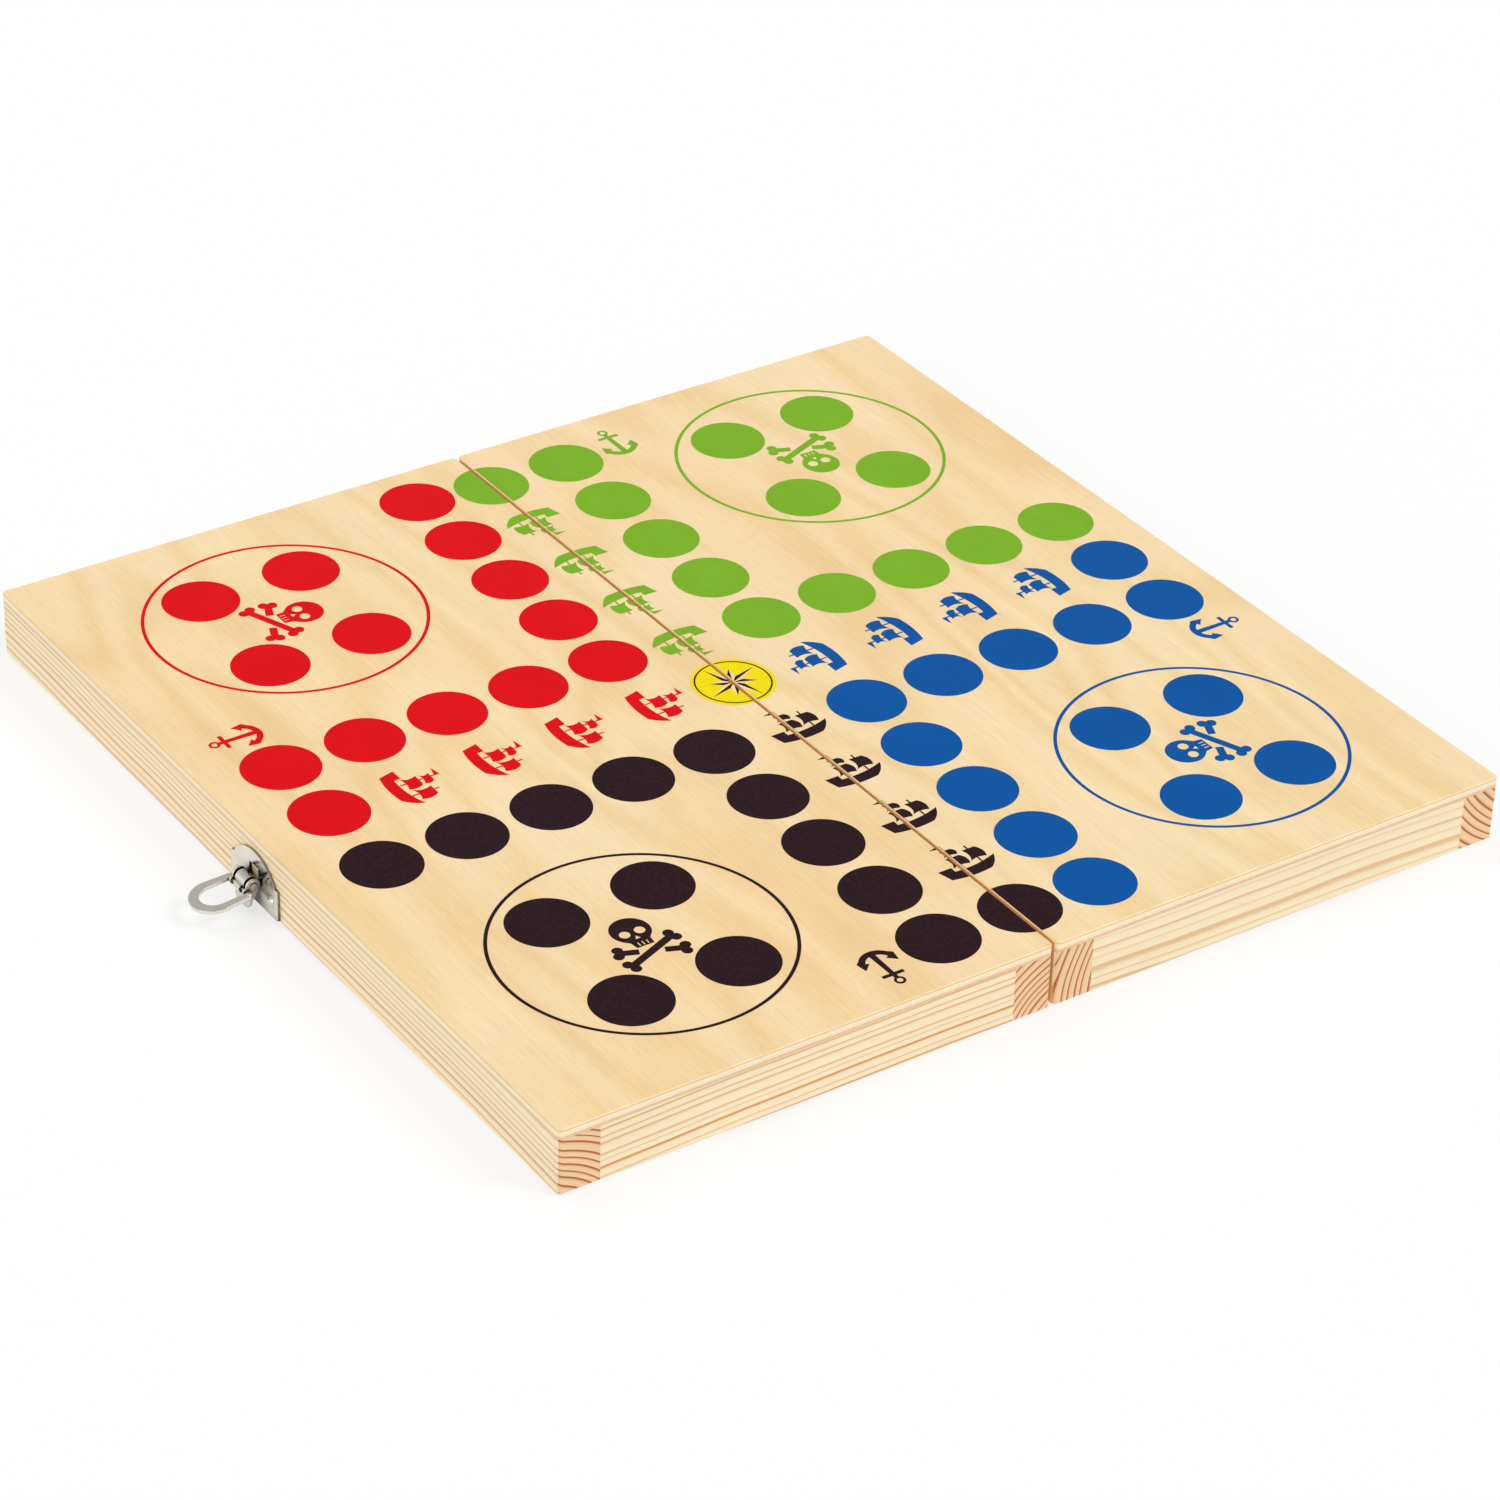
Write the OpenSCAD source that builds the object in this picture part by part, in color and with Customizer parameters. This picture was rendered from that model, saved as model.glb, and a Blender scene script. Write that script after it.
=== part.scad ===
// Folding board box: two shallow wooden trays, hinged at the seam.
// It lies open with the playing panels up and folds shut with the panels outside.
// X runs across the seam, Y along it. The rims of both trays stand on z = 0.

/* [Board] */
// Width of the open board, across both halves
board_w = 300; // [240:1:360]
// Length of the board, along the seam
board_l = 298; // [240:1:360]
// Gap between the halves at the seam while the board lies open
seam_gap = 0.9; // [0.8:0.1:1.6]
// Gap between the two rims when the box is shut
shut_gap = 0.3; // [0.1:0.1:0.6]
// Radius of the upright corners of each half
corner_r = 1.6; // [1:0.1:4]
// Sanded bevel along the outer edges of each half
arris = 0.25; // [0.1:0.05:0.6]

/* [Panels and rails] */
// Thickness of the plywood playing panels
panel_t = 3; // [2:0.1:5]
// Height of the pine rails under the panels
rail_h = 16.6; // [16:0.2:30]
// Thickness of the long rails, at the seam and at the outer sides
side_rail_t = 12; // [10:0.5:16]
// Thickness of the short rails that close the ends
end_rail_t = 12; // [8:0.5:16]

/* [Hinges] */
// Distance from the board's ends to the middle of each hinge
hinge_inset = 56; // [30:1:100]
// Length of a hinge along its pin
hinge_l = 26; // [20:1:34]
// Height of a leaf above the pin's axis
leaf_h = 9.5; // [8.5:0.5:12]
// Thickness of the leaf sheet
leaf_t = 0.6; // [0.5:0.05:0.8]
// Radius of the leaf's free corners
leaf_corner_r = 1; // [0.5:0.25:2]
// Diameter of the hinge pin
hinge_pin_d = 1.1; // [0.8:0.1:1.2]
// Free play between neighbouring knuckles
knuckle_play = 0.2; // [0.1:0.05:0.4]
// Distance between the outer screws of a leaf
screw_pitch = 19; // [12:0.5:19]
// Height of the screws above the pin's axis
screw_rise = 5.6; // [4.5:0.1:6]

/* [Fasteners] */
// Head diameter of the hinge screws
screw_head_d = 3.2; // [2.4:0.1:4]
// Shank diameter of the hinge screws
screw_d = 1.6; // [1.2:0.1:2]
// Length of the hinge screws
screw_l = 8; // [6:0.5:9]
// Head diameter of the latch nails
nail_head_d = 3.3; // [2.6:0.1:3.4]
// Height of the domed nail head
nail_head_h = 0.8; // [0.5:0.1:0.9]
// Shank diameter of the latch nails
nail_d = 1.3; // [1:0.1:1.6]
// Length of the latch nails in the wood
nail_l = 8; // [5:0.5:9]

/* [Latch] */
// Place of the latch along the side rail, from the middle
latch_y = 1.2; // [-60:0.2:60]
// Thickness of the latch sheet
sheet_t = 0.8; // [0.6:0.1:1]
// Width of the base plate over its end tabs
base_w = 25; // [24.6:0.2:32]
// Height of the base plate at the top of its arch
base_h = 15.7; // [15:0.1:15.9]
// Height of the end tabs
tab_h = 9.8; // [9:0.1:10.4]
// Width of the arch where it leaves the tabs
arch_w = 22; // [21:0.2:22.4]
// Distance between the two nails of a plate
nail_pitch = 17.4; // [17.2:0.1:19]
// Height of the nails above the rim
nail_rise = 4.7; // [3:0.1:6]
// Distance of the lever's pivot from the side of the box
pivot_out = 3.2; // [3.1:0.1:3.5]
// Height of the lever's pivot above the rim
pivot_rise = 7.6; // [7.5:0.1:7.8]
// Diameter of the lever's pivot pin
pivot_d = 1.2; // [1:0.1:1.4]
// Length of the lever, from its pivot to the thumb edge
lever_l = 6.6; // [6.2:0.1:7.2]
// Angle that the lever turns from shut to wide open
lever_throw = 150; // [140:1:150]
// Thickness of the lever sheet
lever_t = 0.7; // [0.6:0.05:0.8]

/* [Ring] */
// Width of the latch ring
ring_w = 13.8; // [13.7:0.1:14.4]
// Length of the ring, from its pivot to its tip
ring_l = 14.6; // [14.5:0.1:15.6]
// Width of the ring's band along its legs
ring_band = 2.5; // [2.2:0.1:2.5]
// Width of the band at the ring's tip
tip_band = 2.8; // [2.5:0.1:2.9]
// Thickness of the ring
ring_t = 1; // [0.8:0.1:1.1]
// Diameter of the ring's round bar
bar_d = 1.1; // [1:0.1:1.2]
// Slope of the open ring below level, in degrees
ring_droop = 6; // [0:1:8]

/* [Catch] */
// Width of the catch plate
catch_w = 24; // [23:0.5:30]
// Height of the catch plate
catch_h = 9.2; // [8.6:0.2:12]
// Width of the hook's tongue
hook_w = 3.2; // [2.6:0.2:3.6]
// Play of the ring under the hook
hook_play = 0.2; // [0.1:0.05:0.4]

/* [Hidden] */
$fn = 48;

// Length by which a cutter runs past the face it cuts
past = 1;
// The same for the bevel cutter, where it must stay clear of its own axis
bevel_past = 0.3;
// Radial clearance of a pin or screw in its hole
fit = 0.05;
// Side clearance between sheet parts that turn past each other
side_fit = 0.1;
// Clearance round the knuckles in the wood and in the other leaf
knuckle_room = 0.35;

// Half of the board, along X, and the inner and outer faces of a half
seam_x = seam_gap / 2;
outer_x = board_w / 2;
end_y = board_l / 2;
top_z = rail_h + panel_t;

// Hinge: the barrel is tangent to the back of both leaves
axis_z = -shut_gap / 2;
barrel_r = seam_x + leaf_t;
hinge_y = end_y - hinge_inset;
knuckle_l = hinge_l / 3;
pin_head_r = hinge_pin_d / 2 + 0.3;
pin_head_t = 0.3;
pin_play = 0.05;

// Latch: u is measured outward from the side, v upward from the rim
lever_room = 1.4;
ear_r = lever_room - 0.15;
ear_in = 2.4;
ear_out = ear_in + sheet_t;
cheek_t = 0.6;
cheek_out = ear_out + side_fit + cheek_t;
hub_r = lever_room + lever_t;
web_foot = 1;
cheek_rise = lever_l - 2.2;
pivot_head_r = pivot_d / 2 + 0.35;
pivot_head_t = 0.25;
plate_lift = 0.3;

// The ring's pivot on the lever, as seen from the lever's pivot with the lever shut
ring_n = -0.95;
ring_a = 2.1;
curl_bore_r = bar_d / 2 + 0.07;
curl_r = curl_bore_r + lever_t - 0.1;
curl_w = 2.8;
ring_inner_l = ring_l - tip_band;
ring_inner_w = ring_w - 2 * ring_band;
ring_waist = 0.6;

// The ring's pivot with the lever wide open
ring_u = pivot_out + ring_n * cos(lever_throw) + ring_a * sin(lever_throw);
ring_v = pivot_rise - ring_n * sin(lever_throw) + ring_a * cos(lever_throw);

// Catch: the hook meets the round inside of the ring's tip when the box is shut
tip_sag = ring_inner_w / 2 - sqrt(pow(ring_inner_w / 2, 2) - pow(hook_w / 2, 2));
hook_rise = ring_inner_l - (pivot_rise + ring_a) - shut_gap - hook_play - tip_sag;
hook_gap = 0.35;
hook_in = pivot_out + ring_n + ring_t / 2 + hook_gap;
hook_lip = 1.7;
catch_nail_rise = (plate_lift + catch_h) / 2;

// A rectangle from (x0, y0) to (x1, y1)
module box2(x0, y0, x1, y1) {
    translate([x0, y0])
        square([x1 - x0, y1 - y0]);
}

// A rectangle with all four corners rounded
module round_box2(x0, y0, x1, y1, r) {
    box2(x0 + r, y0, x1 - r, y1);
    box2(x0, y0 + r, x1, y1 - r);
    for (x = [x0 + r, x1 - r], y = [y0 + r, y1 - r])
        translate([x, y])
            circle(r);
}

// Triangle that bevels an edge at the end of a radius r
module arris_profile(r) {
    polygon([[r - arris - bevel_past, bevel_past], [r + past, bevel_past], [r + past, -arris - past]]);
}

// Bevel cutter round the upper outline of the left half, with its top face on z = 0
module arris_frame() {
    centres = [[-outer_x + corner_r, -end_y + corner_r], [-seam_x - corner_r, -end_y + corner_r],
               [-seam_x - corner_r, end_y - corner_r], [-outer_x + corner_r, end_y - corner_r]];
    for (i = [0:3]) {
        a = centres[i];
        b = centres[(i + 1) % 4];
        translate(a)
            rotate([0, 0, 90 * i - 180])
                rotate_extrude(angle = 90)
                    arris_profile(corner_r);
        translate(b)
            rotate([90, 0, 90 * i - 90])
                linear_extrude(norm(b - a))
                    arris_profile(corner_r);
    }
}

// Outline of the left half, seen from above
module half_outline() {
    round_box2(-outer_x, -end_y, -seam_x, end_y, corner_r);
}

// A piece of the left half between two heights, cut out of the half's outline
module half_slab(x0, y0, x1, y1, z0, z1) {
    translate([0, 0, z0])
        linear_extrude(z1 - z0)
            intersection() {
                half_outline();
                box2(x0, y0, x1, y1);
            }
}

// Mirrors a piece of the left half onto the right half
module right() {
    mirror([1, 0, 0])
        children();
}

module panel() {
    color("#f2dcaa")
        difference() {
            half_slab(-outer_x, -end_y, -seam_x, end_y, rail_h, top_z);
            translate([0, 0, top_z])
                arris_frame();
        }
}

// A rail of the left half, with the bevel along the rim's outer edge
module rail(x0, y0, x1, y1) {
    color("#ecd09a")
        difference() {
            half_slab(x0, y0, x1, y1, 0, rail_h);
            mirror([0, 0, 1])
                arris_frame();
        }
}

module front_rail() {
    rail(-outer_x + side_rail_t, -end_y, -seam_x - side_rail_t, -end_y + end_rail_t);
}

module back_rail() {
    rail(-outer_x + side_rail_t, end_y - end_rail_t, -seam_x - side_rail_t, end_y);
}

// Outer rail with the two nail holes of a latch plate
module outer_rail(rise) {
    difference() {
        rail(-outer_x, -end_y, -outer_x + side_rail_t, end_y);
        at_side()
            for (w = [-nail_pitch / 2, nail_pitch / 2])
                translate([-nail_l - fit, w, rise])
                    rotate([0, 90, 0])
                        cylinder(h = nail_l + fit + past, d = nail_d + 2 * fit);
    }
}

// Seam rail with the pockets of both hinges
module seam_rail() {
    difference() {
        rail(-seam_x - side_rail_t, -end_y, -seam_x, end_y);
        for (y = [-hinge_y, hinge_y])
            translate([0, y, axis_z])
                hinge_pocket();
    }
}

// Pocket for a leaf, groove for the barrel and holes for the screws
module hinge_pocket() {
    half_l = hinge_l / 2 + side_fit;
    translate([-barrel_r, -half_l, -past])
        cube([barrel_r, 2 * half_l, leaf_h + side_fit + past]);
    translate([0, -half_l - pin_head_t - knuckle_room, 0])
        rotate([-90, 0, 0])
            cylinder(h = 2 * (half_l + pin_head_t + knuckle_room), r = barrel_r + knuckle_room);
    at_screws()
        cylinder(h = screw_l + fit, d = screw_d + 2 * fit);
}

// Frame of each screw of a left leaf: on the leaf's face, with +Z into the wood
module at_screws() {
    for (y = [-screw_pitch / 2, 0, screw_pitch / 2])
        translate([-seam_x, y, screw_rise])
            rotate([0, -90, 0])
                children();
}

// Countersunk head and shank, or the hole for them
module screw_form(room) {
    cylinder(h = leaf_t, d1 = screw_head_d + 2 * room, d2 = screw_d + 2 * room);
    cylinder(h = screw_l, d = screw_d + 2 * room);
}

module screws() {
    color("#b9b7b2")
        for (y = [-hinge_y, hinge_y])
            translate([0, y, axis_z])
                at_screws()
                    difference() {
                        screw_form(0);
                        translate([-screw_head_d, -0.2, -past])
                            cube([2 * screw_head_d, 0.4, past + 0.3]);
                    }
}

// A leaf of the left half: own lists its knuckles, of three along the barrel
module leaf(own) {
    other = [for (k = [-1:1]) if (len(search(k, own)) == 0) k];
    color("#c9c6c0")
        difference() {
            union() {
                translate([-seam_x, 0, 0])
                    rotate([90, 0, -90])
                        linear_extrude(leaf_t)
                            leaf_outline();
                for (k = own)
                    knuckle(k, barrel_r, knuckle_l - knuckle_play);
            }
            for (k = other)
                knuckle(k, barrel_r + knuckle_room, knuckle_l + knuckle_play);
            translate([0, -hinge_l, 0])
                rotate([-90, 0, 0])
                    cylinder(h = 2 * hinge_l, d = hinge_pin_d + 2 * fit);
            at_screws()
                translate([0, 0, -0.01])
                    screw_form(fit);
        }
}

// A leaf's sheet, with its lower edge on the pin's axis and its upper corners rounded
module leaf_outline() {
    h = hinge_l / 2;
    box2(-h, 0, h, leaf_h - leaf_corner_r);
    round_box2(-h, leaf_h - 3 * leaf_corner_r, h, leaf_h, leaf_corner_r);
}

module knuckle(k, r, l) {
    translate([0, k * knuckle_l - l / 2, 0])
        rotate([-90, 0, 0])
            cylinder(h = l, r = r);
}

module hinge_pin() {
    l = hinge_l / 2 + pin_play;
    color("#aeaca8")
        rotate([-90, 0, 0]) {
            translate([0, 0, -l])
                cylinder(h = 2 * l, d = hinge_pin_d);
            for (z = [-l - pin_head_t, l])
                translate([0, 0, z])
                    cylinder(h = pin_head_t, r = pin_head_r);
        }
}

module at_hinge(side) {
    translate([0, side * hinge_y, axis_z])
        children();
}

// Local frame of the latch on the left side: +X outward, Z up from the rim
module at_side() {
    translate([-outer_x, latch_y, 0])
        mirror([1, 0, 0])
            children();
}

// Extrudes an outline drawn as (outward, up) between two places along the side
module along(w0, w1) {
    translate([0, w1, 0])
        rotate([90, 0, 0])
            linear_extrude(w1 - w0)
                children();
}

// Extrudes an outline drawn as (along, up) outward from u by t
module sheet(u, t) {
    translate([u, 0, 0])
        rotate([90, 0, 90])
            linear_extrude(t)
                children();
}

module nail_holes2(rise) {
    for (w = [-nail_pitch / 2, nail_pitch / 2])
        translate([w, rise])
            circle(d = nail_d + 2 * fit);
}

// Base plate: end tabs, high arch, a window and the two ears bent out of it
module base_outline() {
    arch_r = (pow(arch_w / 2, 2) + pow(base_h - tab_h, 2)) / (2 * (base_h - tab_h));
    difference() {
        union() {
            round_box2(-base_w / 2, plate_lift, base_w / 2, tab_h, 0.5);
            intersection() {
                translate([0, base_h - arch_r])
                    circle(arch_r, $fn = 96);
                box2(-arch_w / 2, plate_lift, arch_w / 2, base_h);
            }
        }
        nail_holes2(nail_rise);
        box2(-ear_in, pivot_rise - ear_r - 0.4, ear_in, pivot_rise + ring_a + curl_r + 0.6);
    }
}

module base_plate() {
    color("#d3d0ca") {
        sheet(0, sheet_t)
            base_outline();
        for (side = [-1, 1])
            mirror([0, side < 0 ? 1 : 0, 0])
                along(ear_in, ear_out)
                    ear_outline();
    }
}

module ear_outline() {
    difference() {
        union() {
            box2(sheet_t / 2, pivot_rise - ear_r, pivot_out, pivot_rise + ear_r);
            translate([pivot_out, pivot_rise])
                circle(ear_r);
        }
        translate([pivot_out, pivot_rise])
            circle(d = pivot_d + 2 * fit);
    }
}

// Lever, drawn shut: its pivot at the origin, the web outside, the thumb edge up
module lever_form() {
    difference() {
        union() {
            sheet(lever_room, lever_t)
                box2(-cheek_out, web_foot, cheek_out, lever_l - 2);
            lever_thumb();
            for (side = [-1, 1])
                mirror([0, side < 0 ? 1 : 0, 0])
                    along(cheek_out - cheek_t, cheek_out)
                        cheek_outline();
            along(side_fit - ear_in, ear_in - side_fit)
                circle(hub_r);
            along(-curl_w / 2, curl_w / 2)
                curl_outline();
        }
        along(-cheek_out - past, cheek_out + past) {
            circle(d = pivot_d + 2 * fit);
            translate([ring_n, ring_a])
                circle(curl_bore_r);
        }
    }
}

// Thumb end: the sheet bends a little outward and its corners are cut off
module lever_thumb() {
    bend = 18;
    translate([lever_room, 0, lever_l - 2])
        rotate([0, bend, 0])
            sheet(0, lever_t)
                polygon([[-cheek_out, -0.4], [cheek_out, -0.4], [cheek_out, 1], [cheek_out - 1.2, 2.2],
                         [1.2 - cheek_out, 2.2], [-cheek_out, 1]]);
}

// Cheek: round about the pivot and the ring's bar, and sloping to nothing at the thumb
module cheek_outline() {
    circle(hub_r);
    translate([ring_n, ring_a])
        circle(curl_r);
    polygon([[0, 0], [hub_r - 0.2, 0], [hub_r - 0.2, cheek_rise], [lever_room - 0.3, cheek_rise],
             [ring_n + 0.4, ring_a + curl_r - 0.1]]);
}

// Tongue of the lever, curled round the ring's bar
module curl_outline() {
    translate([ring_n, ring_a])
        circle(curl_r);
    box2(ring_n, ring_a + curl_bore_r, lever_room + lever_t / 2, ring_a + curl_r);
}

module lever() {
    color("#dad7d2")
        translate([pivot_out, 0, pivot_rise])
            rotate([0, lever_throw, 0])
                lever_form();
}

module pivot_pin() {
    l = cheek_out + pin_play;
    color("#aeaca8")
        translate([pivot_out, 0, pivot_rise])
            rotate([-90, 0, 0]) {
                translate([0, 0, -l])
                    cylinder(h = 2 * l, d = pivot_d);
                for (z = [-l - pivot_head_t, l])
                    translate([0, 0, z])
                        cylinder(h = pivot_head_t, r = pivot_head_r);
            }
}

// Ring: a flat band, round at its tip, with legs that narrow toward a round bar across their feet
module ring_outline() {
    foot = bar_d / 2 + 0.4;
    half = ring_w / 2;
    root = half - ring_waist;
    inner = ring_inner_w / 2;
    difference() {
        union() {
            translate([ring_l - half, 0])
                circle(half, $fn = 96);
            polygon([[foot, -root], [ring_l - half, -half], [ring_l - half, half], [foot, root]]);
            round_box2(-foot, -root, 2 * foot, root, 1.2);
        }
        translate([ring_inner_l - inner, 0])
            circle(inner, $fn = 96);
        box2(-foot - past, -inner, ring_inner_l - inner, inner);
    }
}

module ring() {
    color("#cfccc6")
        translate([ring_u, 0, ring_v])
            rotate([0, ring_droop, 0]) {
                translate([0, 0, -ring_t / 2])
                    linear_extrude(ring_t)
                        ring_outline();
                rotate([90, 0, 0])
                    cylinder(h = ring_w - 2 * ring_band + 2, d = bar_d, center = true);
            }
}

// Two round-headed nails, with the underside of their heads on the plate
module nails(rise) {
    dome_r = (pow(nail_head_d / 2, 2) + pow(nail_head_h, 2)) / (2 * nail_head_h);
    color("#c4c1bb")
        for (w = [-nail_pitch / 2, nail_pitch / 2])
            translate([sheet_t, w, rise])
                rotate([0, 90, 0]) {
                    rotate_extrude()
                        intersection() {
                            translate([0, nail_head_h - dome_r])
                                circle(dome_r, $fn = 96);
                            box2(0, 0, nail_head_d, nail_head_h);
                        }
                    translate([0, 0, -sheet_t - nail_l])
                        cylinder(h = sheet_t + nail_l + 0.1, d = nail_d);
                }
}

// Catch: a plate with a tongue bent out and turned away from the rim
module catch() {
    color("#d3d0ca") {
        sheet(0, sheet_t)
            difference() {
                round_box2(-catch_w / 2, plate_lift, catch_w / 2, catch_h, 2);
                nail_holes2(catch_nail_rise);
                box2(-hook_w / 2, hook_rise, hook_w / 2, hook_rise + hook_lip + 0.6);
            }
        along(-hook_w / 2, hook_w / 2)
            hook_outline();
    }
}

// The tongue seen from its side: out from the plate, then up behind the ring
module hook_outline() {
    out = hook_in + sheet_t;
    difference() {
        union() {
            box2(sheet_t / 2, hook_rise - sheet_t, out - sheet_t, hook_rise);
            box2(hook_in, hook_rise, out, hook_rise + hook_lip);
            translate([hook_in, hook_rise])
                circle(sheet_t);
        }
        box2(sheet_t, hook_rise, hook_in, hook_rise + hook_lip + past);
    }
}

module at_right_side() {
    translate([outer_x, latch_y, 0])
        children();
}

panel();  // left_panel
right() panel();  // right_panel
outer_rail(nail_rise);  // left_outer_rail
seam_rail();  // left_seam_rail
front_rail();  // left_front_rail
back_rail();  // left_back_rail
right() outer_rail(catch_nail_rise);  // right_outer_rail
right() seam_rail();  // right_seam_rail
right() front_rail();  // right_front_rail
right() back_rail();  // right_back_rail
at_hinge(-1) leaf([-1, 1]);  // front_hinge_left_leaf
at_hinge(-1) right() leaf([0]);  // front_hinge_right_leaf
at_hinge(-1) hinge_pin();  // front_hinge_pin
at_hinge(1) leaf([-1, 1]);  // back_hinge_left_leaf
at_hinge(1) right() leaf([0]);  // back_hinge_right_leaf
at_hinge(1) hinge_pin();  // back_hinge_pin
screws();  // left_hinge_screws
right() screws();  // right_hinge_screws
at_side() base_plate();  // latch_base_plate
at_side() lever();  // latch_lever
at_side() pivot_pin();  // latch_pivot_pin
at_side() ring();  // latch_ring
at_side() nails(nail_rise);  // latch_nails
at_right_side() catch();  // catch_plate
at_right_side() nails(catch_nail_rise);  // catch_nails
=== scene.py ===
# Looks of the folding board box: printed veneer panels, pine rails and a nickel-plated clasp.
# Sizes are in millimetres unless a name says otherwise, and MM turns them to Blender's metres.
import math

import bmesh
import bpy
from mathutils import Matrix, Vector


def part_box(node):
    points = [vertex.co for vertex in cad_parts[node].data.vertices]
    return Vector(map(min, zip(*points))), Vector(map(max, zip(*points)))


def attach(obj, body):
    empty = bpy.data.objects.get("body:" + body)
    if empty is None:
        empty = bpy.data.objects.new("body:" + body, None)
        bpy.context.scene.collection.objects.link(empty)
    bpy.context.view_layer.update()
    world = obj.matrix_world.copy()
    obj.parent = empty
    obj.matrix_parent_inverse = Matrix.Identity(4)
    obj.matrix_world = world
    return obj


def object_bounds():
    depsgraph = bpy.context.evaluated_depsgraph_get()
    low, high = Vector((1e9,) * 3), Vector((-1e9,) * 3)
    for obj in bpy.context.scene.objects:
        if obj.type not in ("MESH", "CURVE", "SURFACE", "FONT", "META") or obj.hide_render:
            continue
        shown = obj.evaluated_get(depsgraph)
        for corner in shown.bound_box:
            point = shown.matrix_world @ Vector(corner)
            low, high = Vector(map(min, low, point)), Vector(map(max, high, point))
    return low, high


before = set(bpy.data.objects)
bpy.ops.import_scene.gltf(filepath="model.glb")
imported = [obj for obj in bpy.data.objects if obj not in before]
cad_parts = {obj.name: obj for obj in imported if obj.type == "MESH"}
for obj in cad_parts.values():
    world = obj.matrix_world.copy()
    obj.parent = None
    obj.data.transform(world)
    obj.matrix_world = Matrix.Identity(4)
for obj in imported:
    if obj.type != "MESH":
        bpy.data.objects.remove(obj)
cad_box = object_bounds()

MM = 0.001

# Main sizes of the board, from the frame
panel_low, panel_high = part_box("left_panel")
TOP_Z = panel_high.z / MM
PANEL_T = (panel_high.z - panel_low.z) / MM
SEAM_X = -panel_high.x / MM
END_Y = panel_high.y / MM
OUTER_X = -panel_low.x / MM

# How each rail was cut from its trunk: along is the axis of the fibres, pith the middle of the growth
# rings as (across, up), ring their spacing, slope the run of the grain against the edge in degrees, and
# contrast the strength of the late wood
RAILS = {
    "left_outer_rail": dict(along="Y", pith=(-OUTER_X - 11.5, -25.0), ring=2.1, slope=0.5, contrast=0.85),
    "left_seam_rail": dict(along="Y", pith=(10.0, -10.6), ring=2.0, slope=0.3, contrast=1.1),
    "left_front_rail": dict(along="X", pith=(-END_Y - 6, -38.0), ring=2.3, slope=1.0, contrast=1.0),
    "left_back_rail": dict(along="X", pith=(END_Y + 14, 40.0), ring=2.0, slope=-0.8, contrast=0.8),
    "right_outer_rail": dict(along="Y", pith=(OUTER_X + 18, 34.0), ring=2.2, slope=-0.6, contrast=0.7),
    "right_seam_rail": dict(along="Y", pith=(46.0, 1.5), ring=2.3, slope=0.4, contrast=0.9),
    "right_front_rail": dict(along="X", pith=(-END_Y + 14, -40.0), ring=2.9, slope=-1.6, contrast=0.55),
    "right_back_rail": dict(along="X", pith=(END_Y + 3, -30.0), ring=2.3, slope=0.7, contrast=0.9),
}

# How far the wood's patterns move on from one node to the next, so that no two rails are alike
RAIL_SHIFT = 13.0

# Growth rings: how far they wander, how uneven the years are, how strong the weakest late wood is, and
# how strong all of it is on a sawn end
RING_WANDER = 6.0
RING_UNEVEN = 1.3
WEAKEST_RING = 0.42
SAWN_STRENGTH = 0.95

# The angle in radians that the veneer's flame waves through, from one end of its noise to the other
FLAME_WAVES = 46.0

# The painted shade inside the seam, by its distance from the seam's middle: where it starts and where it
# is full
SEAM_SHADE_STARTS = SEAM_X + 0.16
SEAM_SHADE_FULL = SEAM_X + 0.04

# The printed game: fields on a square grid round the middle of the board
PITCH = 26.0
FIELD_R = 11.15
CENTRE_R = 12.0
HOME_R = 40.6
HOME_LINE = 1.0
HOME_FIELD_X = 16.2
HOME_FIELD_Y = 20.1
ANCHOR_PLACE = (-45.0, -133.0)
SKULL_SCALE = 1.08
STAR_CORNERS = 16
COMPASS_BAND_R = (11.0, 10.5)

# Each colour's side of the board in quarter turns, the middle of its home, and how far its screen was
# off the grid when it was printed
PLAYERS = {
    "black": {"turns": 0, "home": (-89.4, -92.3), "off": (1.9, -1.0)},
    "blue": {"turns": 1, "home": (91.0, -94.1), "off": (0.0, -1.4)},
    "green": {"turns": 2, "home": (91.0, 95.0), "off": (0.0, -1.4)},
    "red": {"turns": 3, "home": (-88.3, 94.7), "off": (2.4, 1.5)},
}

# Ink: how thick the film is, how deep it sits in the lacquer, how much thicker a second ink lies on the
# first, and how far it stays from the seam's middle
FILM = 0.05
SUNK = 0.01
OVERPRINT = 0.01
SEAM_MARGIN = SEAM_X + 0.25

# Vertices of a disc's rim and of a small hole, and distances within which points are one or lie on a cut
RIM_VERTICES = 96
HOLE_VERTICES = 32
MERGE = 0.002
ON_CUT = 0.0005

# Lamps: the direction that each stands in, its strength, and how wide it is in degrees
LAMPS = {
    "key_light": {"toward": (0.55, -0.75, 0.85), "strength": 1.28, "width": 25},
    "top_light": {"toward": (-0.3, 0.4, 1.0), "strength": 0.55, "width": 40},
    "left_light": {"toward": (-0.9, -0.35, 0.35), "strength": 0.8, "width": 40},
}

# The white room's light on the object, and how bright metal mirrors its ceiling
ROOM_LIGHT = 0.52
MIRRORED_CEILING = 0.35

# The table in metres from its middle to its edge, its gap to the lowest piece, how much of its colour is
# its own light, and what it throws back onto the object
TABLE_REACH_M = 6.0
TABLE_GAP = 0.01
TABLE_SHINE = 0.68
TABLE_GLOW = 0.8

# Half the size of the strip of table under the seam, which has no light of its own
PLAIN_STRIP = {"X": 2.0, "Y": END_Y - 4.0}

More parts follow.
